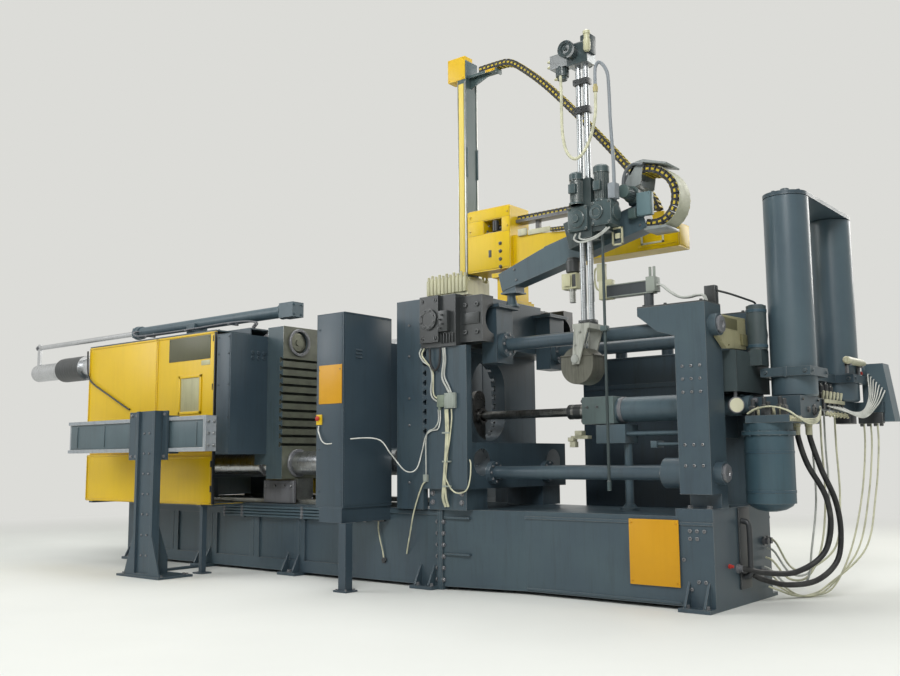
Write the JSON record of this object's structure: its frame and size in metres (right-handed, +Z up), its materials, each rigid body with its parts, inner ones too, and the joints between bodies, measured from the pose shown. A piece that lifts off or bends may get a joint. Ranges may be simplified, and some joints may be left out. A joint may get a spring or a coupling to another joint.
{
  "type": "cold-chamber die casting machine",
  "caption": "Horizontal cold-chamber die casting machine with toggle clamp, T-slotted platens, C-frame injection end, spray unit and ladler.",
  "frame": {"origin": "floor level, on the machine's centre line, below the die face of the fixed platen", "axes": "+X along the machine towards the injection end, +Y across it away from the operator side, +Z up"},
  "size_m": [14.866, 5.08, 7.32],
  "materials": {
    "blue_paint": "satin",
    "yellow_paint": "satin",
    "bare_steel": "machined",
    "chrome": "polished",
    "black_steel": "oiled black",
    "cream_parts": "satin",
    "chain_plastic": "moulded",
    "slate_paint": "satin"
  },
  "bodies": {
    "frame": {"clamp_bed": "blue_paint", "shot_bed": "blue_paint", "bed_ways": "bare_steel", "fixed_platen": "blue_paint", "die_space_frame": "blue_paint", "lock_front": "black_steel", "lock_back": "black_steel", "fixed_tie_bars": "chrome", "rear_platen": "blue_paint", "guard_front": "yellow_paint", "guard_back": "yellow_paint", "guard_roof": "blue_paint", "guard_rear": "blue_paint", "shield_front": "blue_paint", "shield_back": "blue_paint", "shield_stands": "blue_paint", "oil_pipes": "blue_paint", "extractor_post": "blue_paint", "puller_cylinder": "blue_paint", "c_frame_column": "blue_paint", "c_frame_bars": "blue_paint", "c_frame_nuts": "blue_paint", "bar_blocks": "blue_paint", "injection_cylinder": "blue_paint", "shot_sleeve": "bare_steel", "accumulator_near": "blue_paint", "accumulator_far": "blue_paint", "accumulator_frame": "blue_paint", "oil_vessel": "blue_paint", "valve_block": "slate_paint", "terminal_box": "blue_paint", "hydraulic_tank": "blue_paint", "spray_pedestal": "yellow_paint", "ladler_girder": "blue_paint", "girder_posts": "blue_paint", "cable_arm": "black_steel"},
    "moving_platen": {"moving_platen": "blue_paint", "platen_shoes": "bare_steel", "platen_cover_front": "blue_paint", "platen_cover_back": "blue_paint"},
    "tie_bar": {"drawn_tie_bar": "chrome", "puller_rod": "chrome"},
    "plunger": {"plunger": "bare_steel"},
    "extractor": {"extractor_beam": "blue_paint"},
    "spray_arm": {"spray_arm": "yellow_paint", "arm_chain": "chain_plastic"},
    "spray_column": {"spray_column": "yellow_paint", "spray_head": "cream_parts", "drop_chain": "chain_plastic"},
    "ladler_carriage": {"ladler_carriage": "black_steel"},
    "ladler_column": {"ladler_column": "chrome", "ladle_fork": "cream_parts"},
    "ladle": {"ladle": "black_steel"}
  },
  "joints": [
    {"name": "clamp", "type": "slide", "parent": "frame", "child": "moving_platen", "axis": [1, 0, 0], "range_m": [0, 1.45]},
    {"name": "tie_bar_draw", "type": "slide", "parent": "frame", "child": "tie_bar", "axis": [1, 0, 0], "range_m": [0, 3]},
    {"name": "shot", "type": "slide", "parent": "frame", "child": "plunger", "axis": [-1, 0, 0], "range_m": [0, 0.76]},
    {"name": "extract", "type": "slide", "parent": "frame", "child": "extractor", "axis": [1, 0, 0], "range_m": [0, 1.5]},
    {"name": "spray_reach", "type": "slide", "parent": "frame", "child": "spray_arm", "axis": [1, 0, 0], "range_m": [-1.25, 0]},
    {"name": "spray_drop", "type": "slide", "parent": "spray_arm", "child": "spray_column", "axis": [0, 0, 1], "range_m": [-1.7, 0], "deforming": ["drop_chain"]},
    {"name": "ladler_travel", "type": "slide", "parent": "frame", "child": "ladler_carriage", "axis": [0.9715, 0, 0.2368], "range_m": [-0.9, 0.15]},
    {"name": "ladler_lift", "type": "slide", "parent": "ladler_carriage", "child": "ladler_column", "axis": [0, 0, 1], "range_m": [-0.6, 0.9]},
    {"name": "ladle_tilt", "type": "hinge", "parent": "ladler_column", "child": "ladle", "pos_m": [2.228, -0.87, 2.7], "axis": [0, -1, 0], "range_deg": [0, 60]}
  ]
}
